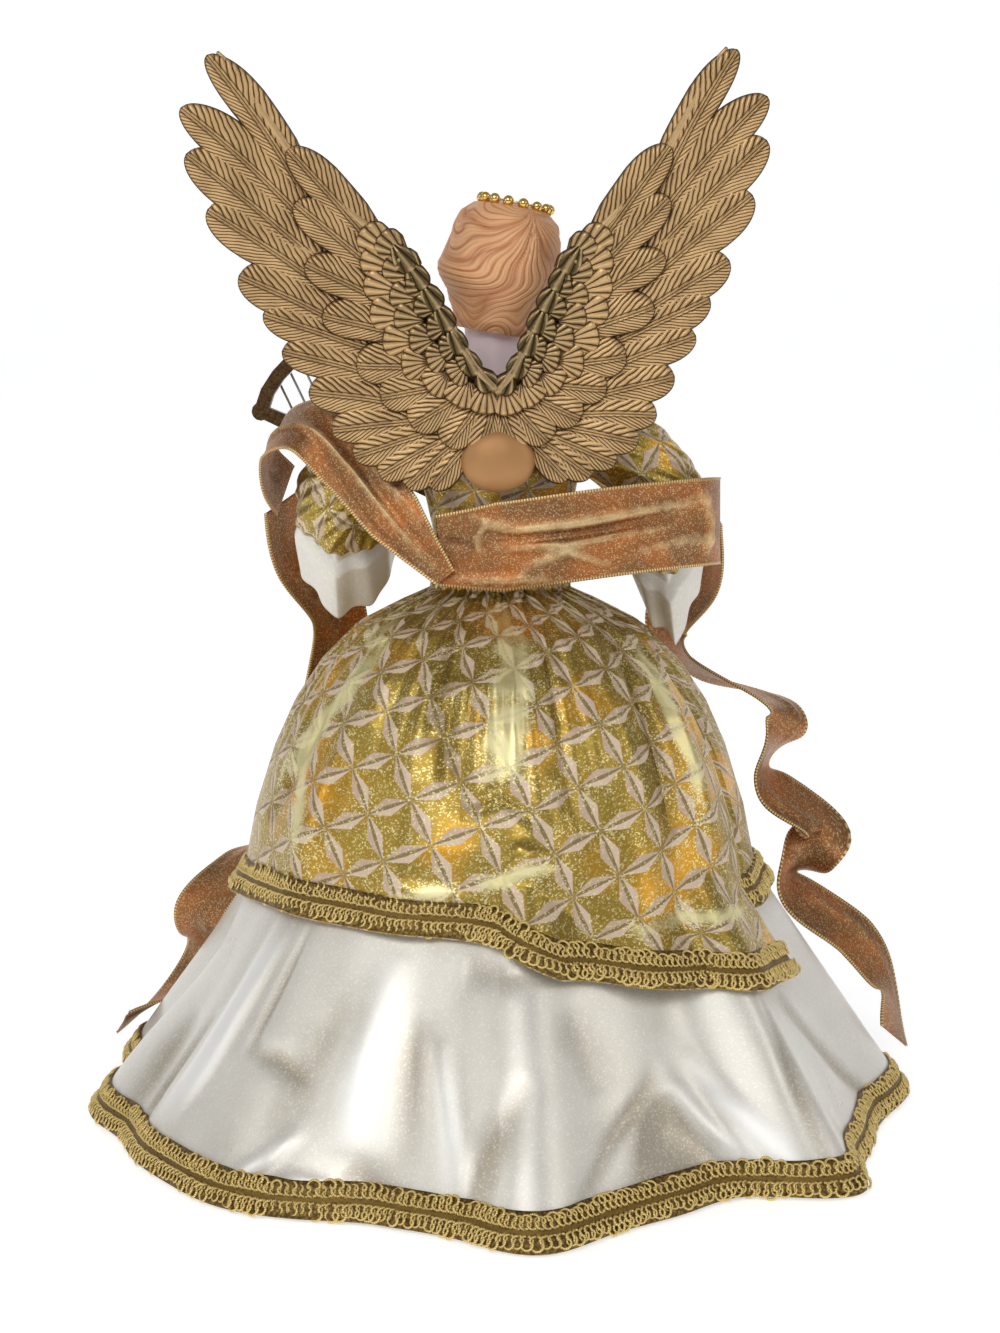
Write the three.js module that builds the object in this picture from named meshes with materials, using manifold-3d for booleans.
// Angel tree topper in millimetres, +Z up, standing on its cone with its face towards -Y.
// A card cone and a moulded torso carry the head, the wire arms, the clothes and the wings.
import * as THREE from 'three';
import { mergeVertices } from 'three/addons/utils/BufferGeometryUtils.js';
import Module from 'manifold-3d';

const wasm = await Module();
wasm.setup();

// Shared fits
const clearance = 0.3;
const clothWall = 1;
const cutOverrun = 4;

// Cone that slips over the tree leader
const coneFootRadius = 118;
const coneTopRadius = 16;
const cardThickness = 1.2;

// Figure from waist to neck; each rise or drop is taken from a height that is named already
const waistHeight = 205;
const waistRadius = 20;
const coneDrop = 10;
const coneHeight = waistHeight - coneDrop;
const chestRise = 41;
const chestHeight = waistHeight + chestRise;
const chestHalfWidth = 29;
const chestHalfDepth = 19;
const shoulderRise = 18;
const shoulderHeight = chestHeight + shoulderRise;
const shoulderHalfWidth = 31;
const shoulderHalfDepth = 16;
const collarRise = 12;
const collarHeight = shoulderHeight + collarRise;
const collarHalfWidth = 18;
const collarHalfDepth = 12.5;
const neckFootRise = 13;
const neckFootHeight = collarHeight + neckFootRise;
const neckRadius = 10.5;
const neckRise = 23;
const neckTopHeight = neckFootHeight + neckRise;
const upperRise = shoulderHeight - waistHeight;

// Satin skirt and its hem
const hemRadius = 159;
const hemHeight = 0.8;
const gatherDrop = 9;
const gatherHeight = waistHeight - gatherDrop;
const gatherRadius = 31;
const foldDepth = 20;
const braidWidth = 13;
const braidThickness = 1.4;

// Brocade overskirt
const headingRise = 9;
const headingHeight = waistHeight + headingRise;
const overskirtStandoff = 3.2;
const overskirtFoldDepth = 5;

// Wings
const wingSeatDrop = 9;
const wingSeatHeight = shoulderHeight - wingSeatDrop;
const leftWingReach = 109;
const leftWingRise = 156;
const rightWingReach = 104;
const rightWingRise = 148;
const wingSweep = 12;
const bladeThickness = 1.1;
const wingLeanDegrees = 3;
const tabWidth = 14;
const tabHeight = 10;
const tabLength = 14;

// Arms, sleeves and what the hands hold
const armReach = 60;
const armForward = 40;
const sleeveHalfWidth = 21;
const sleeveHalfHeight = 22;
const harpWidth = 77;
const harpHeight = 85;
const harpDepth = 7;

// Ribbon
const ribbonWidth = 34;
const streamerWidth = 24;

const fullTurn = 2 * Math.PI;
const degrees = THREE.MathUtils.degToRad;
const mergeShare = 1e-4;

// Place from three shares of three sizes, above a foot that is zero unless it is given
function placeOf(shares, [width, depth, height, foot = 0]) {
  return new THREE.Vector3(shares[0] * width, shares[1] * depth, foot + shares[2] * height);
}

// Closed geometry from points and faces, merged, free of empty triangles and facing out
function solidFromFaces(points, faces) {
  const positions = points.flatMap((point) => [point.x, point.y, point.z]);
  let geometry = new THREE.BufferGeometry();
  geometry.setAttribute('position', new THREE.Float32BufferAttribute(positions, 3));
  geometry.setIndex(faces.flat());
  geometry = mergeVertices(geometry, mergeShare);
  const index = geometry.getIndex().array;
  const place = geometry.getAttribute('position');
  const corners = [new THREE.Vector3(), new THREE.Vector3(), new THREE.Vector3()];
  const kept = [];
  let volume = 0;
  for (let i = 0; i < index.length; i += 3) {
    const [a, b, c] = [index[i], index[i + 1], index[i + 2]];
    if (a === b || b === c || c === a) continue;
    kept.push(a, b, c);
    [a, b, c].forEach((vertex, k) => corners[k].fromBufferAttribute(place, vertex));
    volume += corners[0].dot(corners[1].cross(corners[2]));
  }
  if (volume < 0) {
    for (let i = 0; i < kept.length; i += 3) {
      [kept[i + 1], kept[i + 2]] = [kept[i + 2], kept[i + 1]];
    }
  }
  geometry.setIndex(kept);
  return geometry;
}

// Solid between two grids of points; a wrapped grid closes round on itself
function slab(outer, inner, wrapped) {
  const rows = outer.length;
  const columns = outer[0].length;
  const spans = wrapped ? columns : columns - 1;
  const vertex = (side, row, column) => (side * rows + row) * columns + (column % columns);
  const faces = [];
  const quad = (a, b, c, d) => faces.push([a, b, c], [a, c, d]);
  for (let row = 0; row < rows - 1; row += 1) {
    for (let column = 0; column < spans; column += 1) {
      const corner = (side) => [
        vertex(side, row, column),
        vertex(side, row, column + 1),
        vertex(side, row + 1, column + 1),
        vertex(side, row + 1, column),
      ];
      const [a, b, c, d] = corner(0);
      quad(a, b, c, d);
      const [e, f, g, h] = corner(1);
      faces.push([e, g, f], [e, h, g]);
    }
  }
  const last = rows - 1;
  for (let column = 0; column < spans; column += 1) {
    quad(vertex(0, 0, column + 1), vertex(0, 0, column), vertex(1, 0, column), vertex(1, 0, column + 1));
    quad(vertex(0, last, column), vertex(0, last, column + 1),
      vertex(1, last, column + 1), vertex(1, last, column));
  }
  if (!wrapped) {
    for (let row = 0; row < last; row += 1) {
      quad(vertex(0, row, 0), vertex(0, row + 1, 0), vertex(1, row + 1, 0), vertex(1, row, 0));
      quad(vertex(0, row + 1, spans), vertex(0, row, spans), vertex(1, row, spans), vertex(1, row + 1, spans));
    }
  }
  return solidFromFaces([...outer.flat(), ...inner.flat()], faces);
}

// Solid through a stack of rings, capped at both ends
function stack(rings) {
  const columns = rings[0].length;
  const points = rings.flat();
  const faces = [];
  for (let row = 0; row < rings.length - 1; row += 1) {
    for (let column = 0; column < columns; column += 1) {
      const next = (column + 1) % columns;
      const [a, b] = [row * columns + column, row * columns + next];
      const [c, d] = [b + columns, a + columns];
      faces.push([a, b, c], [a, c, d]);
    }
  }
  for (const [ring, flipped] of [[0, true], [rings.length - 1, false]]) {
    const middle = rings[ring].reduce((sum, point) => sum.add(point), new THREE.Vector3());
    points.push(middle.divideScalar(columns));
    const hub = points.length - 1;
    for (let column = 0; column < columns; column += 1) {
      const rim = [ring * columns + column, ring * columns + (column + 1) % columns];
      faces.push(flipped ? [hub, rim[1], rim[0]] : [hub, rim[0], rim[1]]);
    }
  }
  return solidFromFaces(points, faces);
}

// Grid of points on a surface at a lift off it; rows and columns are lists of shares
function gridOn(surface, rowShares, columnShares, lift) {
  const stepShare = 1e-3;
  return rowShares.map((row) => columnShares.map((column) => {
    const along = surface(column + stepShare, row).sub(surface(column - stepShare, row));
    const down = surface(column, row + stepShare).sub(surface(column, row - stepShare));
    return surface(column, row).addScaledVector(along.cross(down).normalize(), lift);
  }));
}

function evenShares(count, wrapped) {
  const total = wrapped ? count : count + 1;
  return Array.from({ length: total }, (_, i) => i / count);
}

// Cloth of one wall thickness whose inner face lies at a lift off a surface
function cloth(surface, rowShares, count, wrapped, lift, wall = clothWall) {
  const columnShares = evenShares(count, wrapped);
  const inner = gridOn(surface, rowShares, columnShares, lift);
  const outer = gridOn(surface, rowShares, columnShares, lift + wall);
  return slab(outer, inner, wrapped);
}

// Straight-line reading of a table whose first column rises
function readTable(table, value) {
  const last = table.length - 1;
  let row = 0;
  while (row < last - 1 && value > table[row + 1][0]) row += 1;
  const [low, high] = [table[row], table[row + 1]];
  const share = THREE.MathUtils.clamp((value - low[0]) / (high[0] - low[0]), 0, 1);
  return low.map((entry, i) => THREE.MathUtils.lerp(entry, high[i], share));
}

// Booleans on closed geometries
function solidOf(geometry) {
  const bare = geometry.clone();
  bare.deleteAttribute('normal');
  bare.deleteAttribute('uv');
  const merged = mergeVertices(bare, mergeShare);
  return new wasm.Manifold(new wasm.Mesh({
    numProp: 3,
    vertProperties: Float32Array.from(merged.getAttribute('position').array),
    triVerts: Uint32Array.from(merged.getIndex().array),
  }));
}

function geometryOf(solid) {
  const mesh = solid.getMesh();
  const geometry = new THREE.BufferGeometry();
  geometry.setAttribute('position', new THREE.Float32BufferAttribute(mesh.vertProperties, 3));
  geometry.setIndex([...mesh.triVerts]);
  return geometry;
}

function joined(geometries) {
  return geometries.map(solidOf).reduce((whole, piece) => whole.add(piece));
}

function box(width, depth, height, x, y, z) {
  return new THREE.BoxGeometry(width, depth, height).translate(x, y, z);
}

const group = new THREE.Group();
group.name = 'angel_tree_topper';

function addPiece(name, geometry, color, roughness, metalness) {
  const flat = geometry.index ? geometry : mergeVertices(geometry, mergeShare);
  flat.computeVertexNormals();
  const material = new THREE.MeshStandardMaterial({ color, roughness, metalness });
  const mesh = new THREE.Mesh(flat, material);
  mesh.name = name;
  group.add(mesh);
}

const finishes = {
  card: [0xcfc6b4, 0.9, 0],
  torso: [0xd8cdb8, 0.7, 0],
  skin: [0xe9cdbb, 0.5, 0],
  hair: [0xd9a472, 0.6, 0],
  gilt: [0xb08a4e, 0.4, 0.7],
  beadGold: [0xc9a13c, 0.2, 1],
  harpBronze: [0x5e4526, 0.45, 0.6],
  string: [0x8a8478, 0.4, 0.5],
  wire: [0x8c8c8c, 0.4, 1],
  satin: [0xded9cc, 0.35, 0],
  brocade: [0xb79a45, 0.4, 0.4],
  braid: [0xc3a753, 0.5, 0.5],
  lame: [0xa9744a, 0.45, 0.5],
};

// Card cone, rolled and open at both ends, that slips over the top shoot of the tree
function baseCone() {
  const sides = 36;
  const profile = [
    new THREE.Vector2(coneFootRadius, 0),
    new THREE.Vector2(coneTopRadius, coneHeight),
    new THREE.Vector2(coneTopRadius - cardThickness, coneHeight),
    new THREE.Vector2(coneFootRadius - cardThickness, 0),
    new THREE.Vector2(coneFootRadius, 0),
  ];
  return new THREE.LatheGeometry(profile, sides).rotateX(Math.PI / 2);
}

// Body from the waist to the neck: stations of height, half width and half depth, then a smooth
// table with a few rows between each pair, which every piece on the body shares
const figureStations = [
  [coneHeight, waistRadius, waistRadius],
  [waistHeight, waistRadius, waistRadius],
  [chestHeight, chestHalfWidth, chestHalfDepth],
  [shoulderHeight, shoulderHalfWidth, shoulderHalfDepth],
  [collarHeight, collarHalfWidth, collarHalfDepth],
  [neckFootHeight, neckRadius, neckRadius],
  [neckTopHeight, neckRadius, neckRadius],
];
const stationSteps = 2;
const surfaceStep = 0.4;
const surfaceStepShare = 1e-3;
const torsoTop = shoulderHeight - clearance;
const bodySides = 20;
const figureTable = new THREE.CatmullRomCurve3(figureStations.map((row) => new THREE.Vector3(...row)))
  .getPoints(stationSteps * (figureStations.length - 1))
  .map((row) => row.toArray());

function figureAt(azimuth, height) {
  const [, halfWidth, halfDepth] = readTable(figureTable, height);
  return new THREE.Vector3(halfWidth * Math.sin(azimuth), halfDepth * Math.cos(azimuth), height);
}

// Heights of the shared rows that lie between two heights, ends included
function figureRows(low, high) {
  const between = figureTable.map((row) => row[0]).filter((height) => height > low && height < high);
  return [low, ...between, high];
}

// Grid of points round the figure at a lift; the row at the top may follow a line of its own
function figureGrid(rows, lift, topLine = null) {
  const surface = (turnShare, height) => figureAt(fullTurn * turnShare, height);
  const columns = evenShares(bodySides, true);
  return rows.map((row, i) => columns.map((turn) => {
    const height = topLine && i === rows.length - 1 ? topLine(fullTurn * turn) : row;
    const along = surface(turn + surfaceStepShare, height).sub(surface(turn - surfaceStepShare, height));
    const upward = surface(turn, height + surfaceStep).sub(surface(turn, height - surfaceStep));
    return surface(turn, height).addScaledVector(upward.cross(along).normalize(), lift);
  }));
}

// Arm wire, bent from hand to hand through a bore between the shoulders.
// Its places, and those of the arms, are shares of the arms' reach, of their forward bend and,
// above the waist, of the rise to the shoulders.
const armSizes = [armReach, armForward, upperRise, waistHeight];
const wireRadius = 1.2;
const wireSteps = 32;
const wireShares = [
  [1, -1.03, 0.499],
  [1.02, -0.5, 0.45],
  [0.867, -0.1, 0.727],
  [0.5, 0, 0.866],
  [0, 0, 0.879],
  [-0.5, 0, 0.866],
  [-0.867, -0.1, 0.696],
  [-1.033, -0.45, 0.391],
  [-0.917, -0.85, 0.356],
  [-0.533, -1.025, 0.459],
  [-0.1, -1.025, 0.566],
];

function wirePoints() {
  return wireShares.map((shares) => placeOf(shares, armSizes));
}

function wireTube(radius, overrun) {
  const points = wirePoints();
  const last = points.length - 1;
  points[0].add(points[0].clone().sub(points[1]).setLength(overrun));
  points[last].add(points[last].clone().sub(points[last - 1]).setLength(overrun));
  const section = new THREE.Shape().absarc(0, 0, radius, 0, fullTurn);
  return new THREE.ExtrudeGeometry(section, {
    steps: wireSteps,
    curveSegments: 3,
    bevelEnabled: false,
    extrudePath: new THREE.CatmullRomCurve3(points),
  });
}

// Socket at the back of the chest that takes the tab of the wings
const wingFront = chestHalfDepth + clothWall + 3 * clearance;

function tabSocket() {
  const width = tabWidth + 2 * clearance;
  const height = tabHeight + 2 * clearance;
  const depth = tabLength + clearance + cutOverrun;
  return box(width, depth, height, 0, wingFront - tabLength - clearance + depth / 2, wingSeatHeight);
}

function torsoCore() {
  const rings = figureGrid(figureRows(coneHeight + clearance, torsoTop), 0);
  const bore = wireTube(wireRadius + clearance, 0);
  const solid = solidOf(stack(rings)).subtract(solidOf(tabSocket())).subtract(solidOf(bore));
  return geometryOf(solid);
}

// Bodice: brocade glued round the torso, its neckline dipping at the back
const bodiceFoot = waistHeight + clearance;
const necklineRise = 4;
const necklineDip = 5;
const bodiceRows = figureRows(bodiceFoot, collarHeight + necklineRise);

function necklineHeight(azimuth) {
  return collarHeight + necklineRise + necklineDip * (1 - Math.cos(azimuth)) / 2;
}

function bodice() {
  const outer = figureGrid(bodiceRows, clearance + clothWall, necklineHeight);
  const inner = figureGrid(bodiceRows, clearance, necklineHeight);
  const bore = wireTube(wireRadius + clearance, 0);
  return geometryOf(solidOf(slab(outer, inner, true)).subtract(solidOf(tabSocket())).subtract(solidOf(bore)));
}

// Space that the bodice fills, grown by a clearance, which trims what is sewn to it
function bodiceSpace() {
  return solidOf(stack(figureGrid(bodiceRows, clothWall + 2 * clearance, necklineHeight)));
}

// Skirt: a wide satin cone with flutes that grow from the waist to the hem.
// Each fold row is its place in turns from +Y towards +X, its depth share and its width in turns.
const skirtFoldShares = [
  [-0.011, 1, 0.022],
  [-0.094, -0.55, 0.03],
  [-0.128, 0.95, 0.018],
  [-0.2, -0.4, 0.03],
  [-0.255, 0.25, 0.02],
  [-0.33, 0.4, 0.025],
  [-0.4, -0.35, 0.03],
  [-0.48, 0.95, 0.025],
  [0.05, -0.15, 0.02],
  [0.1, 0.3, 0.03],
  [0.185, -0.2, 0.02],
  [0.225, 0.15, 0.02],
  [0.265, -0.35, 0.018],
  [0.31, 0.45, 0.02],
  [0.38, -0.3, 0.03],
  [0.44, 0.35, 0.02],
];

function foldAt(azimuth, table) {
  const turn = azimuth / fullTurn;
  return table.reduce((sum, [place, depthShare, widthShare]) => {
    const away = turn - place - Math.round(turn - place);
    return sum + depthShare * Math.exp(-((away / widthShare) ** 2));
  }, 0);
}

function skirtRadius(azimuth, height) {
  const table = [[0, hemRadius], [gatherHeight, gatherRadius], [waistHeight, waistRadius + clearance]];
  const growth = Math.max(0, 1 - height / waistHeight) ** 1.5;
  return readTable(table, height)[1] + foldDepth * growth * foldAt(azimuth, skirtFoldShares);
}

function roundPoint(azimuth, radius, height) {
  return new THREE.Vector3(radius * Math.sin(azimuth), radius * Math.cos(azimuth), height);
}

const skirtSides = 64;
const skirtRowShares = [0, 0.06, 0.36, 0.62, 0.84, 1, 2];
const skirtTop = waistHeight - clothWall - 2 * clearance;

// Rows run from the waist to the top of the braid, and from there to the hem
function skirtSurface(turnShare, row) {
  const braidTop = hemHeight + braidWidth;
  const height = row <= 1
    ? THREE.MathUtils.lerp(skirtTop, braidTop, row)
    : THREE.MathUtils.lerp(braidTop, hemHeight, row - 1);
  const azimuth = fullTurn * turnShare;
  return roundPoint(azimuth, skirtRadius(azimuth, height), height);
}

function skirt() {
  return cloth(skirtSurface, skirtRowShares, skirtSides, true, clearance);
}

function skirtBraid() {
  return cloth(skirtSurface, [1, 2], skirtSides, true, clothWall + 2 * clearance, braidThickness);
}

// Overskirt: two brocade panels gathered at the waist, full at the hips, braided at the foot.
// Share rows are a height share of the heading and a radius share of the hem.
const overskirtProfileShares = [
  [0, 1.02],
  [0.28, 0.78],
  [0.44, 0.63],
  [0.56, 0.598],
  [0.67, 0.55],
  [0.75, 0.5],
  [0.82, 0.435],
  [0.89, 0.34],
  [0.93, 0.235],
  [0.955, 0.16],
  [1, 0.152],
];
const overskirtFoldShares = [
  [-0.02, 0.9, 0.02],
  [-0.085, 0.6, 0.02],
  [-0.15, 0.8, 0.02],
  [0.06, 0.5, 0.02],
  [0.13, 0.8, 0.025],
  [0.33, 0.7, 0.025],
  [0.42, 0.8, 0.025],
  [0.5, 0.9, 0.025],
  [0.6, 0.7, 0.025],
  [0.68, 0.6, 0.025],
];
// Hem of the back panel: a place share across the panel and a height share of the heading
const backHemShares = [
  [0, 0.29],
  [0.12, 0.31],
  [0.26, 0.337],
  [0.36, 0.365],
  [0.43, 0.415],
  [0.55, 0.42],
  [0.74, 0.43],
  [1, 0.405],
];
const frontHemShares = [[0, 0.4], [0.5, 0.42], [1, 0.4]];

function overskirtRadius(azimuth, height) {
  const heightShare = height / headingHeight;
  const full = hemRadius * readTable(overskirtProfileShares, heightShare)[1];
  const growth = THREE.MathUtils.smoothstep(1 - heightShare, 0.04, 0.5);
  const fold = overskirtFoldDepth * growth * foldAt(azimuth, overskirtFoldShares);
  const clear = skirtRadius(azimuth, height) + overskirtStandoff;
  return Math.max(full, clear) + fold;
}

function overskirtSurface(startTurn, endTurn, hemShares) {
  return (acrossShare, row) => {
    const foot = headingHeight * readTable(hemShares, acrossShare)[1];
    const braidTop = foot + braidWidth;
    const height = row <= 1
      ? THREE.MathUtils.lerp(headingHeight, braidTop, row)
      : THREE.MathUtils.lerp(braidTop, foot, row - 1);
    const azimuth = fullTurn * THREE.MathUtils.lerp(startTurn, endTurn, acrossShare);
    return roundPoint(azimuth, overskirtRadius(azimuth, height), height);
  };
}

const overskirtRowShares = [0, 0.05, 0.09, 0.18, 0.36, 0.6, 1, 2];
const overskirtColumns = 22;
// Each panel's first and last edge, in turns from +Y towards +X
const backEdgeShares = [-0.183, 0.245];
const frontEdgeShares = [0.26, 0.802];
const backPanel = overskirtSurface(...backEdgeShares, backHemShares);
const frontPanel = overskirtSurface(...frontEdgeShares, frontHemShares);

function overskirt(panel) {
  return cloth(panel, overskirtRowShares, overskirtColumns, false, 0);
}

function overskirtBraid(panel) {
  return cloth(panel, [1, 2], overskirtColumns, false, clothWall + clearance, braidThickness);
}

// Waist band: a narrow cord of braid that ties the gathered heading
const bandHeight = 4;
const bandLift = clothWall + 3 * clearance;

function waistBand() {
  const surface = (turnShare, downShare) => {
    const azimuth = fullTurn * turnShare;
    const height = headingHeight - clearance - bandHeight * downShare;
    return roundPoint(azimuth, overskirtRadius(azimuth, headingHeight), height);
  };
  return cloth(surface, [0, 1], bodySides, true, bandLift, braidThickness);
}

// Head on its neck and shoulder plate, turned and tipped towards the left
const headHeight = 44;
const headHalfWidth = 16;
const headHalfDepth = 19;
const chinDrop = 8;
const chinHeight = neckTopHeight - chinDrop;
const noseDepth = 2.6;
const headTurnDegrees = 22;
const headTiltDegrees = 10;
// Height share above the chin, then width, front depth and back depth shares
const headShares = [
  [0, 0.3, 0.62, 0.25],
  [0.08, 0.52, 0.8, 0.5],
  [0.22, 0.76, 0.86, 0.8],
  [0.4, 0.93, 0.9, 0.98],
  [0.52, 0.98, 0.88, 1.05],
  [0.64, 1, 0.93, 1.07],
  [0.78, 0.93, 0.88, 1],
  [0.9, 0.7, 0.64, 0.76],
  [0.97, 0.4, 0.36, 0.42],
  [1, 0, 0, 0],
];

const noseWidthShare = 0.16;
const nosePlaceShare = 0.4;
const noseReachShare = 0.1;

// Point of the head: turn share from the face round, height share above the chin
function headPoint(turnShare, heightShare, growth) {
  const angle = fullTurn * turnShare;
  const [, widthShare, frontShare, backShare] = readTable(headShares, heightShare);
  const depthShare = Math.cos(angle) > 0 ? frontShare : backShare;
  const acrossNose = Math.sin(angle) / noseWidthShare;
  const alongNose = (heightShare - nosePlaceShare) / noseReachShare;
  const nose = Math.exp(-(acrossNose ** 2 + alongNose ** 2));
  const front = Math.cos(angle) > 0 ? noseDepth * nose : 0;
  return new THREE.Vector3(
    (headHalfWidth * widthShare + growth) * Math.sin(angle),
    -(headHalfDepth * depthShare + growth) * Math.cos(angle) - front,
    headHeight * heightShare + growth * (2 * heightShare - 1),
  );
}

function placeHead(geometry) {
  geometry.translate(0, 0, -headHeight / 2);
  geometry.rotateZ(degrees(headTurnDegrees));
  geometry.rotateY(degrees(-headTiltDegrees));
  return geometry.translate(0, 0, chinHeight + headHeight / 2);
}

const headSides = 24;
const headRowShares = [0, 0.08, 0.2, 0.3, 0.36, 0.42, 0.5, 0.62, 0.76, 0.88, 0.96, 1];

function headForm(growth) {
  const rings = headRowShares.map((row) => (
    evenShares(headSides, true).map((turn) => headPoint(turn, row, growth))
  ));
  return placeHead(stack(rings));
}

function headBust() {
  const bust = stack(figureGrid(figureRows(shoulderHeight, neckTopHeight), 0));
  return geometryOf(joined([headForm(0), bust]));
}

// Hair: a moulded cap of waves that leaves the face open and rolls under at the nape
const hairThickness = 4.5;
const waveDepth = 1.3;
const sideLock = 7;
const faceOpeningWidth = 23;
const faceOpeningHeight = 33;
const hairSides = 26;
const hairRowShares = [0, 0.1, 0.2, 0.3, 0.4, 0.52, 0.64, 0.76, 0.88, 0.96, 1];
const waveCount = 11;
const waveSlant = 9;
const hairDropShare = 0.02;
const napeShare = 0.3;
const napeTaperShare = 0.72;
// The side lock: its turn and height places, then how far it spreads each way
const lockShares = { turn: 0.3, turnSpread: 0.09, height: 0.5, heightSpread: 0.2 };

function hairPoint(turnShare, row) {
  const point = headPoint(turnShare, Math.max(row, napeShare), hairThickness);
  const wave = Math.sin(waveCount * fullTurn * turnShare + waveSlant * row) * Math.sin(Math.PI * row);
  const acrossLock = (turnShare - lockShares.turn) / lockShares.turnSpread;
  const alongLock = (row - lockShares.height) / lockShares.heightSpread;
  const lock = Math.exp(-(acrossLock ** 2) - alongLock ** 2);
  const outwards = new THREE.Vector3(point.x, point.y, 0).normalize();
  point.addScaledVector(outwards, waveDepth * wave + sideLock * lock);
  const heightShare = THREE.MathUtils.lerp(-hairDropShare, 1, row);
  point.z = headHeight * heightShare + hairThickness * Math.max(0, 2 * row - 1);
  const taper = row < napeShare ? THREE.MathUtils.lerp(napeTaperShare, 1, row / napeShare) : 1;
  const closing = row === 1 ? 0 : taper;
  return new THREE.Vector3(point.x * closing, point.y * closing, point.z);
}

function hair() {
  const rings = hairRowShares.map((row) => (
    evenShares(hairSides, true).map((turn) => hairPoint(turn, row))
  ));
  const opening = box(faceOpeningWidth, headHalfDepth * 2, faceOpeningHeight,
    0, -headHalfDepth - clearance, faceOpeningHeight / 2 - cutOverrun);
  const neck = new THREE.CylinderGeometry(neckRadius + clearance, neckRadius + clearance,
    headHeight, bodySides).rotateX(Math.PI / 2).translate(0, 0, chinHeight);
  const solid = solidOf(placeHead(stack(rings)))
    .subtract(solidOf(placeHead(opening)))
    .subtract(solidOf(headForm(clearance)))
    .subtract(solidOf(neck));
  return geometryOf(largest(solid));
}

// The biggest of the bodies that a cut leaves
function largest(solid) {
  return solid.decompose().reduce((best, next) => (next.volume() > best.volume() ? next : best));
}

// Bead halo: gilt beads threaded on a wire ring that rests on the crown
const haloRadius = 13;
const beadRadius = 2.1;
const haloWireRadius = 0.6;
const beadCount = 14;
const haloTiltDegrees = 11;
const haloSide = -6;
const haloBack = 1;
const haloSettle = 0.5;
const haloHeight = chinHeight + headHeight + hairThickness - haloSettle;

function beadHalo() {
  const bead = new THREE.SphereGeometry(beadRadius, 6, 4);
  const ring = new THREE.TorusGeometry(haloRadius, haloWireRadius, 4, beadCount);
  const beads = evenShares(beadCount, true).map((turn) => (
    bead.clone().translate(haloRadius, 0, 0).rotateZ(fullTurn * turn)
  ));
  const whole = geometryOf(joined([ring, ...beads]));
  whole.rotateY(degrees(-haloTiltDegrees));
  return whole.translate(haloSide, haloBack, haloHeight);
}

// Sleeves: rings along the arm, from the shoulder to the open cuff. Each ring has its centre,
// its half width and half height as shares, and its heading and pitch in degrees.
const leftArm = {
  side: -1,
  centreShares: [
    [0.45, -0.025, 0.982], [0.717, 0, 0.915], [0.933, -0.1, 0.727], [1, -0.375, 0.544], [0.967, -0.65, 0.32],
  ],
  halfShares: [[0.43, 0.455], [0.667, 0.727], [0.857, 0.955], [1, 1], [0.952, 1]],
  headings: [-90, -110, -140, -170, -180],
  pitches: [0, 0, 10, 25, 28],
};
const rightArm = {
  side: 1,
  centreShares: [
    [-0.45, -0.025, 0.982], [-0.717, 0, 0.897], [-0.933, -0.1, 0.714], [-1.033, -0.325, 0.49],
    [-1.067, -0.6, 0.32],
  ],
  halfShares: [[0.43, 0.455], [0.667, 0.773], [0.857, 1], [0.905, 1.182], [0.69, 1.41]],
  headings: [-90, -70, -40, -10, 0],
  pitches: [0, 0, 8, 18, 22],
};
const sleeveGathers = 7;
const sleeveGatherShare = 0.05;
const sleeveSides = 16;
const sleeveSteps = 8;
const cuffStep = 6;
const undersleeveStep = 3;

function sleeveSurface(arm) {
  const centre = new THREE.CatmullRomCurve3(arm.centreShares.map((shares) => placeOf(shares, armSizes)));
  const halfSizes = [sleeveHalfWidth, sleeveHalfHeight, 0];
  const halves = new THREE.CatmullRomCurve3(arm.halfShares.map((shares) => placeOf([...shares, 0], halfSizes)));
  const turns = new THREE.CatmullRomCurve3(
    arm.headings.map((heading, i) => new THREE.Vector3(heading, arm.pitches[i], 0)),
  );
  return (turnShare, alongShare) => {
    const angle = fullTurn * turnShare;
    const half = halves.getPoint(alongShare);
    const [heading, pitch] = turns.getPoint(alongShare).toArray().map(degrees);
    const across = new THREE.Vector3(Math.cos(heading), Math.sin(heading), 0);
    const upward = new THREE.Vector3(0, -Math.sin(pitch), Math.cos(pitch));
    const gather = 1 + sleeveGatherShare * alongShare * Math.cos(sleeveGathers * angle);
    return centre.getPoint(alongShare)
      .addScaledVector(across, half.x * gather * Math.cos(angle))
      .addScaledVector(upward, half.y * gather * Math.sin(angle));
  };
}

// Cloth tube along an arm between two steps; its walls lie inwards from the arm's surface
function sleeveTube(arm, fromStep, toStep, inset) {
  const surface = sleeveSurface(arm);
  const endShare = 2e-3;
  const shares = evenShares(sleeveSteps, false)
    .slice(fromStep, toStep + 1)
    .map((share) => THREE.MathUtils.clamp(share, endShare, 1 - endShare));
  const columns = evenShares(sleeveSides, true);
  const outer = gridOn(surface, shares, columns, arm.side * inset);
  const inner = gridOn(surface, shares, columns, arm.side * (inset + clothWall));
  return slab(outer, inner, true);
}

function sleeve(arm) {
  return geometryOf(largest(solidOf(sleeveTube(arm, 0, cuffStep, 0)).subtract(bodiceSpace())));
}

function undersleeve(arm) {
  return sleeveTube(arm, undersleeveStep, sleeveSteps, clothWall + 2 * clearance);
}

// Rows of a hand-laid route, each a place as shares and the way the face looks, set out in full size
function laid(rows, sizes) {
  return rows.map(([shares, look]) => [placeOf(shares, sizes), look]);
}

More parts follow.
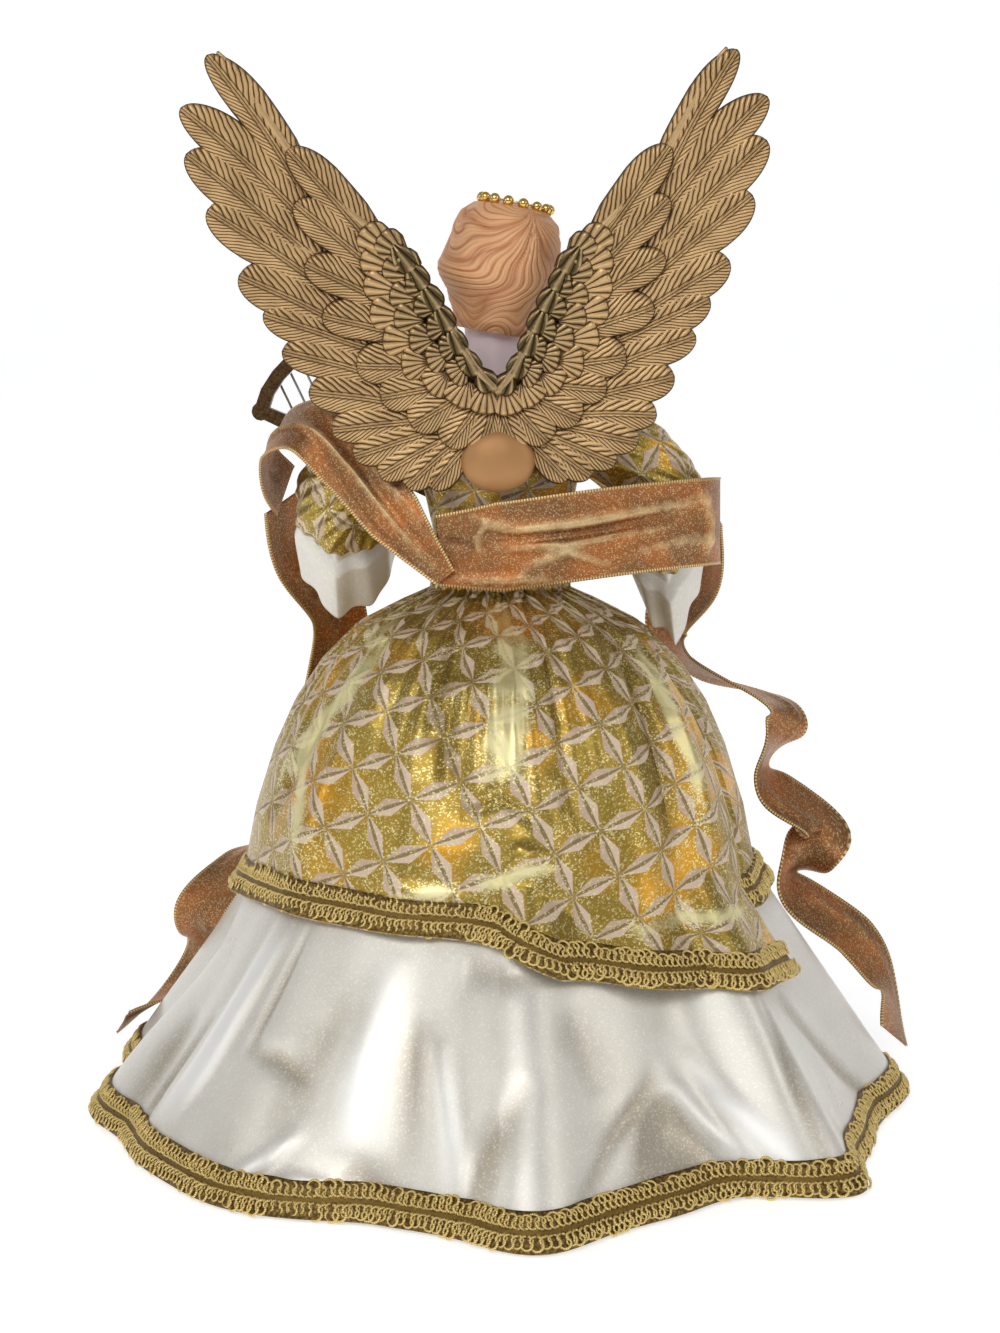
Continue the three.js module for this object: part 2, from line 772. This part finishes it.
function ribbon(route, width, steps) {
  const path = new THREE.CatmullRomCurve3(route.map(([place]) => place));
  const looks = new THREE.CatmullRomCurve3(route.map(([, look]) => new THREE.Vector3(...look)));
  const grid = (lift) => evenShares(steps, false).map((share) => {
    const tangent = path.getTangent(share);
    const normal = looks.getPoint(share).projectOnPlane(tangent).normalize();
    const across = normal.clone().cross(tangent).normalize();
    const middle = path.getPoint(share).addScaledVector(normal, lift);
    return [-1, 0, 1].map((side) => middle.clone().addScaledVector(across, side * width / 2));
  });
  return slab(grid(clothWall / 2), grid(-clothWall / 2), false);
}

// The sash and the elbow ribbon follow the arms, the band at the waist and the waist's height
const sashSlack = 0.9;
const sashDepth = overskirtRadius(0, headingHeight) + bandLift + braidThickness + sashSlack;
const sashSizes = [armReach, sashDepth, upperRise, waistHeight];
const sashShares = [
  [[0.32, 0.985, 0.306], [0.3, 1, 0]],
  [[0, 1, 0.306], [0, 1, 0]],
  [[-0.467, 1.02, 0.372], [-0.15, 1, 0]],
  [[-0.933, 0.81, 0.424], [-0.4, 0.9, 0]],
  [[-1.283, 0.388, 0.441], [-0.8, 0.6, 0]],
  [[-1.433, -0.282, 0.424], [-1, 0, 0]],
  [[-1.4, -0.987, 0.389], [-0.9, -0.4, 0]],
];
const elbowShares = [
  [[0.46, 1.09, 0.104], [0.3, 1, 0.2]],
  [[0.72, 0.81, 0.525], [0.2, 1, 0.1]],
  [[0.967, 0.557, 0.865], [0.2, 0.9, 0.4]],
  [[1.217, 0.282, 1.067], [0.4, 0.6, 0.8]],
  [[1.45, -0.212, 1.001], [0.9, 0, 0.5]],
  [[1.517, -0.635, 0.764], [1, -0.3, -0.1]],
  [[1.433, -1.058, 0.594], [0.8, -0.8, -0.3]],
];
// The streamers hang from the ends of the elbow ribbon and the sash and then lie over the skirt, so
// each has two rows that follow the ribbon above and a fall that follows the hem
const streamerTopShare = 0.475;
const streamerTop = waistHeight + streamerTopShare * upperRise;
const streamerSizes = [hemRadius, hemRadius, streamerTop];
const leftHangShares = [
  [[1.44, -1.05, 0.53], [0.8, -0.8, -0.3]],
  [[1.4, -1.42, 0.15], [0.8, -0.6, 0]],
];
const leftStreamerShares = [
  [[0.421, -0.358, 0.807], [0.4, -0.9, 0.1]],
  [[0.44, -0.415, 0.687], [0.5, -0.85, 0.1]],
  [[0.503, -0.415, 0.549], [0.6, -0.8, 0.2]],
  [[0.585, -0.415, 0.421], [0.7, -0.6, 0.3]],
  [[0.667, -0.415, 0.343], [0.8, -0.1, 0.5]],
  [[0.752, -0.453, 0.257], [0.6, 0.7, 0.4]],
  [[0.767, -0.578, 0.163], [0.5, 0.7, 0.4]],
  [[0.859, -0.472, 0.1], [0.75, 0, 0.55]],
  [[0.993, -0.295, 0.07], [0.8, -0.1, 0.6]],
];
const rightHangShares = [
  [[-1.434, -0.913, 0.475], [-1, -0.12, 0]],
  [[-1.415, -1.34, 0.05], [-0.95, -0.3, 0]],
];
const rightStreamerShares = [
  [[-0.434, -0.365, 0.792], [-0.75, -0.65, 0.1]],
  [[-0.497, -0.358, 0.712], [-0.75, -0.2, 0.6]],
  [[-0.73, -0.214, 0.648], [-0.4, 0.2, 0.9]],
  [[-0.673, -0.214, 0.532], [-0.9, 0.3, -0.2]],
  [[-0.83, -0.201, 0.438], [-0.2, 0.5, 0.8]],
  [[-0.742, -0.214, 0.343], [-0.9, 0.4, -0.1]],
  [[-0.918, -0.189, 0.245], [-0.3, 0.6, 0.7]],
  [[-1, -0.176, 0.155], [-0.9, 0.4, 0.2]],
  [[-1.006, -0.088, 0.086], [-0.9, 0.4, 0.4]],
];

// Neckline braid: gold lace glued along the top edge of the bodice
function necklineBraid() {
  const rows = [collarHeight, collarHeight + necklineRise];
  const lift = clothWall + 2 * clearance;
  return slab(
    figureGrid(rows, lift + braidThickness, necklineHeight),
    figureGrid(rows, lift, necklineHeight),
    true,
  );
}

// Harp: a tapered sound box, a straight pillar and a curved neck in one casting
const harpStandoff = 12;
const harpPlane = -armForward - harpStandoff;
const pillarRadius = 2.4;
const soundboxFootHalf = 5;
const soundboxTipHalf = 2.6;
const neckHalf = 2.8;
const bossRise = 1;
const bossSides = 12;
const holdReach = 40;
const harpFootShare = 0.5436;
const harpFoot = new THREE.Vector2(armReach - holdReach, waistHeight + harpFootShare * upperRise);
const harpShoulder = harpCorner([1, 0.4]);
const harpCrown = harpCorner([0.52, 1]);
const neckBend = 10;
const stringRadius = 0.55;
const stringCount = 7;
const firstStringShare = 1.5;
const neckSteps = 8;

function harpCorner([widthShare, heightShare]) {
  return harpFoot.clone().add(new THREE.Vector2(widthShare * harpWidth, heightShare * harpHeight));
}

function neckCurve() {
  const along = harpCrown.clone().sub(harpShoulder);
  const side = new THREE.Vector2(-along.y, along.x).setLength(neckBend);
  const low = harpShoulder.clone().addScaledVector(along, 1 / 3).sub(side);
  const high = harpShoulder.clone().addScaledVector(along, 2 / 3).add(side);
  return new THREE.CubicBezierCurve(harpShoulder, low, high, harpCrown);
}

// Bar in the plane of the harp along a run of points, with a half width at each
function harpBar(points, halves, depth) {
  const sides = [1, -1].map((side) => points.map((point, i) => {
    const before = points[Math.max(i - 1, 0)];
    const after = points[Math.min(i + 1, points.length - 1)];
    const along = after.clone().sub(before).normalize();
    return point.clone().add(new THREE.Vector2(-along.y, along.x).multiplyScalar(side * halves[i]));
  }));
  const shape = new THREE.Shape([...sides[0], ...sides[1].reverse()]);
  const bar = new THREE.ExtrudeGeometry(shape, { depth, bevelEnabled: false, curveSegments: 1 });
  return bar.rotateX(Math.PI / 2).translate(0, harpPlane + depth / 2, 0);
}

function harpBody(growth) {
  const neckPoints = neckCurve().getPoints(neckSteps);
  const depth = harpDepth + 2 * growth;
  const neck = harpBar(neckPoints, neckPoints.map(() => neckHalf + growth), depth);
  const soundboxHalves = [soundboxFootHalf + growth, soundboxTipHalf + growth];
  const soundbox = harpBar([harpFoot, harpShoulder], soundboxHalves, depth);
  const pillar = harpBar([harpFoot, harpCrown], [pillarRadius + growth, pillarRadius + growth], depth);
  const bossRadius = neckHalf + bossRise;
  const knobs = [[harpFoot, soundboxFootHalf], [harpShoulder, bossRadius], [harpCrown, bossRadius]];
  const bosses = knobs.map(([place, radius]) => (
    new THREE.CylinderGeometry(radius + growth, radius + growth, depth + growth, bossSides)
      .translate(place.x, harpPlane, place.y)
  ));
  return joined([neck, soundbox, pillar, ...bosses]);
}

function harpString(number) {
  const share = (number + firstStringShare) / (stringCount + 1 + firstStringShare);
  const foot = harpFoot.clone().lerp(harpShoulder, share);
  const rise = harpCrown.clone().sub(harpFoot);
  const top = foot.clone().add(rise);
  const middle = foot.clone().add(top).divideScalar(2);
  const length = rise.length();
  const string = new THREE.CylinderGeometry(stringRadius, stringRadius, length, 6)
    .rotateX(Math.PI / 2)
    .rotateY(Math.atan2(rise.x, rise.y))
    .translate(middle.x, harpPlane, middle.y);
  const parts = solidOf(string).subtract(harpBody(clearance)).decompose();
  const footDistance = (part) => {
    const { min, max } = part.boundingBox();
    return Math.hypot((min[0] + max[0]) / 2 - foot.x, (min[2] + max[2]) / 2 - foot.y);
  };
  return geometryOf(parts.reduce((best, next) => (footDistance(next) < footDistance(best) ? next : best)));
}

// Hands: a cupped palm, five fingers and a forearm over the wire in one moulding, against the harp
const palmLength = 11;
const palmWidth = 8;
const palmThickness = 3.6;
const fingerRadius = 1.15;
const fingerLength = 8;
const wristRadius = 2.7;
const forearmRadius = 4;
const forearmLength = 26;
const forearmSteps = 3;
const forearmSides = 8;
const fingerSlots = [-1.5, -0.5, 0.5, 1.5];
const fingerGapShare = 0.23;
const leftReachShares = [0.87, -1.17, 0.687];
const rightReachShares = [0.3, -1.225, 0.642];

// Tapered sleeve of moulding round the wire, from the wrist back towards the elbow
function forearm(fromEnd) {
  const curve = new THREE.CatmullRomCurve3(wirePoints());
  const reachShare = forearmLength / curve.getLength();
  const rings = evenShares(forearmSteps, false).map((share) => {
    const place = fromEnd ? 1 - share * reachShare : share * reachShare;
    const tangent = curve.getTangentAt(place);
    const across = new THREE.Vector3(-tangent.y, tangent.x, 0).normalize();
    const upward = across.clone().cross(tangent);
    const radius = THREE.MathUtils.lerp(wristRadius, forearmRadius, share);
    return evenShares(forearmSides, true).map((turn) => curve.getPointAt(place)
      .addScaledVector(across, radius * Math.cos(fullTurn * turn))
      .addScaledVector(upward, radius * Math.sin(fullTurn * turn)));
  });
  return stack(rings);
}

function hand(wristShares, reachShares, side) {
  const wrist = placeOf(wristShares, armSizes);
  const aim = placeOf(reachShares, armSizes);
  const forward = aim.clone().sub(wrist).normalize();
  const up = new THREE.Vector3(0, 0, 1).projectOnPlane(forward).normalize();
  const basis = new THREE.Matrix4().makeBasis(forward, up, forward.clone().cross(up));
  const palm = new THREE.SphereGeometry(1, 8, 6).scale(palmLength / 2, palmWidth / 2, palmThickness / 2)
    .translate(palmLength / 2, 0, 0);
  const heel = new THREE.SphereGeometry(wristRadius, 6, 4);
  const fingers = fingerSlots.map((slot) => (
    new THREE.CapsuleGeometry(fingerRadius, fingerLength, 1, 6)
      .rotateZ(Math.PI / 2)
      .translate(palmLength + fingerLength / 2 - fingerRadius, slot * palmWidth * fingerGapShare, 0)
  ));
  const thumb = new THREE.CapsuleGeometry(fingerRadius, fingerLength / 2, 1, 6)
    .rotateZ(Math.PI / 3)
    .translate(palmLength / 2, palmWidth / 2 + fingerRadius, side * fingerRadius);
  const whole = geometryOf(joined([palm, heel, ...fingers, thumb]));
  whole.applyMatrix4(basis).translate(wrist.x, wrist.y, wrist.z);
  whole.computeBoundingBox();
  const harpBack = harpPlane + harpDepth / 2;
  whole.translate(0, harpBack + clearance - whole.boundingBox.min.y, 0);
  const moulding = joined([whole, forearm(side < 0)]);
  return geometryOf(largest(moulding.subtract(solidOf(wireTube(wireRadius + clearance, clearance)))));
}

function leftHand() {
  return hand(wireShares[0], leftReachShares, 1);
}

function rightHand() {
  return hand(wireShares.at(-1), rightReachShares, -1);
}

// Wings: one moulding of overlapping feathers on a thin web, with a smooth plate and a tab.
// Every place is a share of the wing's reach and rise from the middle of the plate.
const flightTipShares = [
  [0.9, 0.985], [1, 0.87], [0.995, 0.765], [0.94, 0.635], [0.852, 0.478], [0.78, 0.385],
  [0.725, 0.295], [0.644, 0.195], [0.575, 0.1], [0.505, 0.033], [0.42, -0.018], [0.33, -0.048],
  [0.245, -0.055],
];
const flightRootShares = [
  [0.63, 0.69], [0.6, 0.6], [0.58, 0.52], [0.55, 0.46], [0.5, 0.36], [0.44, 0.3],
  [0.38, 0.22], [0.32, 0.15], [0.27, 0.1], [0.23, 0.08], [0.18, 0.07], [0.14, 0.07], [0.1, 0.07],
];
const covertTipShares = [
  [0.66, 0.75], [0.65, 0.632], [0.625, 0.498], [0.58, 0.375], [0.475, 0.252], [0.4, 0.172],
  [0.32, 0.115], [0.185, 0.052],
];
const covertRootShares = [
  [0.4, 0.54], [0.38, 0.49], [0.36, 0.42], [0.33, 0.34], [0.27, 0.25], [0.22, 0.2],
  [0.16, 0.16], [0.08, 0.14],
];
const scallopTipShares = [
  [0.42, 0.545], [0.418, 0.49], [0.41, 0.42], [0.375, 0.34], [0.322, 0.265], [0.275, 0.208],
  [0.194, 0.168], [0.09, 0.13],
];
const scallopRootShares = [
  [0.3, 0.5], [0.29, 0.44], [0.27, 0.38], [0.25, 0.32], [0.21, 0.26], [0.17, 0.22],
  [0.11, 0.2], [0.04, 0.19],
];
// Leading edge from the point of the V out to the tip
const leadingShares = [
  [0.01, 0.18], [0.117, 0.293], [0.156, 0.355], [0.205, 0.411], [0.26, 0.47],
  [0.315, 0.527], [0.405, 0.574], [0.6, 0.709], [0.706, 0.821], [0.818, 0.947], [0.877, 1],
];
const flightWidth = 17;
const covertWidth = 15;
const scallopWidth = 13.5;
const rowLift = 1.5;
const webThickness = 2.2;
const bladeWidthShares = [[0, 0.6], [0.6, 1], [0.9, 0.76], [1, 0.12]];

// One feather: a flat-backed blade with a rounded tip and a raised quill
function feather(root, tip, width, lift) {
  const along = new THREE.Vector3(tip.x - root.x, 0, tip.y - root.y);
  const across = new THREE.Vector3(-along.z, 0, along.x).normalize();
  const rings = bladeWidthShares.map(([share, widthShare]) => {
    const middle = new THREE.Vector3(root.x, lift, root.y).addScaledVector(along, share);
    const half = across.clone().multiplyScalar(width * widthShare / 2);
    const quill = new THREE.Vector3(0, bladeThickness, 0);
    return [
      middle.clone().sub(half),
      middle.clone().add(quill),
      middle.clone().add(half),
      middle.clone().sub(quill),
    ];
  });
  return stack(rings);
}

function wingPlace([xShare, zShare], reach, rise) {
  return new THREE.Vector2(xShare * reach, zShare * rise);
}

function featherRow(tips, roots, width, lift, reach, rise) {
  return tips.map((tip, i) => (
    feather(wingPlace(roots[i], reach, rise), wingPlace(tip, reach, rise), width, lift)
  ));
}

function halfWing(reach, rise) {
  const place = (share) => wingPlace(share, reach, rise);
  const outline = [
    ...leadingShares.map(place),
    ...covertTipShares.slice(1).map(place),
    place([0, 0.03]),
  ];
  const web = new THREE.ExtrudeGeometry(new THREE.Shape(outline), {
    depth: webThickness,
    bevelEnabled: false,
    curveSegments: 1,
  }).rotateX(Math.PI / 2).translate(0, webThickness / 2, 0);
  const feathers = [
    ...featherRow(flightTipShares, flightRootShares, flightWidth, 0, reach, rise),
    ...featherRow(covertTipShares, covertRootShares, covertWidth, rowLift, reach, rise),
    ...featherRow(scallopTipShares, scallopRootShares, scallopWidth, 2 * rowLift, reach, rise),
  ];
  return joined([web, ...feathers]);
}

const plateHalfWidth = 13;
const plateHalfHeight = 12;
const plateDrop = 1;
const plateSides = 16;
const wingStandoff = 5;
const wingPlane = wingFront + wingStandoff;

function wings() {
  const left = geometryOf(halfWing(leftWingReach, leftWingRise));
  const right = geometryOf(halfWing(rightWingReach, rightWingRise));
  right.scale(-1, 1, 1);
  const turned = [...right.getIndex().array];
  for (let i = 0; i < turned.length; i += 3) {
    [turned[i + 1], turned[i + 2]] = [turned[i + 2], turned[i + 1]];
  }
  right.setIndex(turned);
  const plate = new THREE.SphereGeometry(1, plateSides, plateSides / 2)
    .scale(plateHalfWidth, wingPlane - wingFront, plateHalfHeight)
    .translate(0, 0, -plateDrop);
  const feathered = geometryOf(joined([left, right, plate]));
  feathered.rotateY(degrees(wingLeanDegrees));
  sweepBack(feathered);
  feathered.translate(0, wingPlane, wingSeatHeight);
  const neckLength = wingPlane - wingFront;
  const tab = box(tabWidth, tabLength + neckLength, tabHeight,
    0, wingFront - tabLength + (tabLength + neckLength) / 2, wingSeatHeight);
  return geometryOf(joined([feathered, tab]));
}

// Curves the wings towards the back, more so the further out they reach
function sweepBack(geometry) {
  const place = geometry.getAttribute('position');
  for (let i = 0; i < place.count; i += 1) {
    const outShare = Math.hypot(place.getX(i), place.getZ(i)) / leftWingReach;
    place.setY(i, place.getY(i) + wingSweep * Math.min(outShare, 2) ** 2 / 2);
  }
}

addPiece('base_cone', baseCone(), ...finishes.card);
addPiece('torso_core', torsoCore(), ...finishes.torso);
addPiece('head_bust', headBust(), ...finishes.skin);
addPiece('hair', hair(), ...finishes.hair);
addPiece('bead_halo', beadHalo(), ...finishes.beadGold);
addPiece('arm_wire', wireTube(wireRadius, 0), ...finishes.wire);
addPiece('bodice', bodice(), ...finishes.brocade);
addPiece('skirt', skirt(), ...finishes.satin);
addPiece('skirt_braid', skirtBraid(), ...finishes.braid);
addPiece('overskirt_back', overskirt(backPanel), ...finishes.brocade);
addPiece('overskirt_front', overskirt(frontPanel), ...finishes.brocade);
addPiece('overskirt_back_braid', overskirtBraid(backPanel), ...finishes.braid);
addPiece('overskirt_front_braid', overskirtBraid(frontPanel), ...finishes.braid);
addPiece('waist_band', waistBand(), ...finishes.braid);
addPiece('left_sleeve', sleeve(leftArm), ...finishes.brocade);
addPiece('right_sleeve', sleeve(rightArm), ...finishes.brocade);
addPiece('left_undersleeve', undersleeve(leftArm), ...finishes.satin);
addPiece('right_undersleeve', undersleeve(rightArm), ...finishes.satin);
addPiece('neckline_braid', necklineBraid(), ...finishes.braid);
const leftFall = [...laid(leftHangShares, sashSizes), ...laid(leftStreamerShares, streamerSizes)];
const rightFall = [...laid(rightHangShares, sashSizes), ...laid(rightStreamerShares, streamerSizes)];
addPiece('back_sash', ribbon(laid(sashShares, sashSizes), ribbonWidth, 20), ...finishes.lame);
addPiece('elbow_ribbon', ribbon(laid(elbowShares, sashSizes), streamerWidth, 20), ...finishes.lame);
addPiece('left_streamer', ribbon(leftFall, streamerWidth, 30), ...finishes.lame);
addPiece('right_streamer', ribbon(rightFall, streamerWidth, 38), ...finishes.lame);
addPiece('left_hand', leftHand(), ...finishes.skin);
addPiece('right_hand', rightHand(), ...finishes.skin);
addPiece('harp_frame', geometryOf(harpBody(0)), ...finishes.harpBronze);
for (let number = 0; number < stringCount; number += 1) {
  addPiece(`harp_string_${number + 1}`, harpString(number), ...finishes.string);
}
addPiece('wings', wings(), ...finishes.gilt);

export default group;
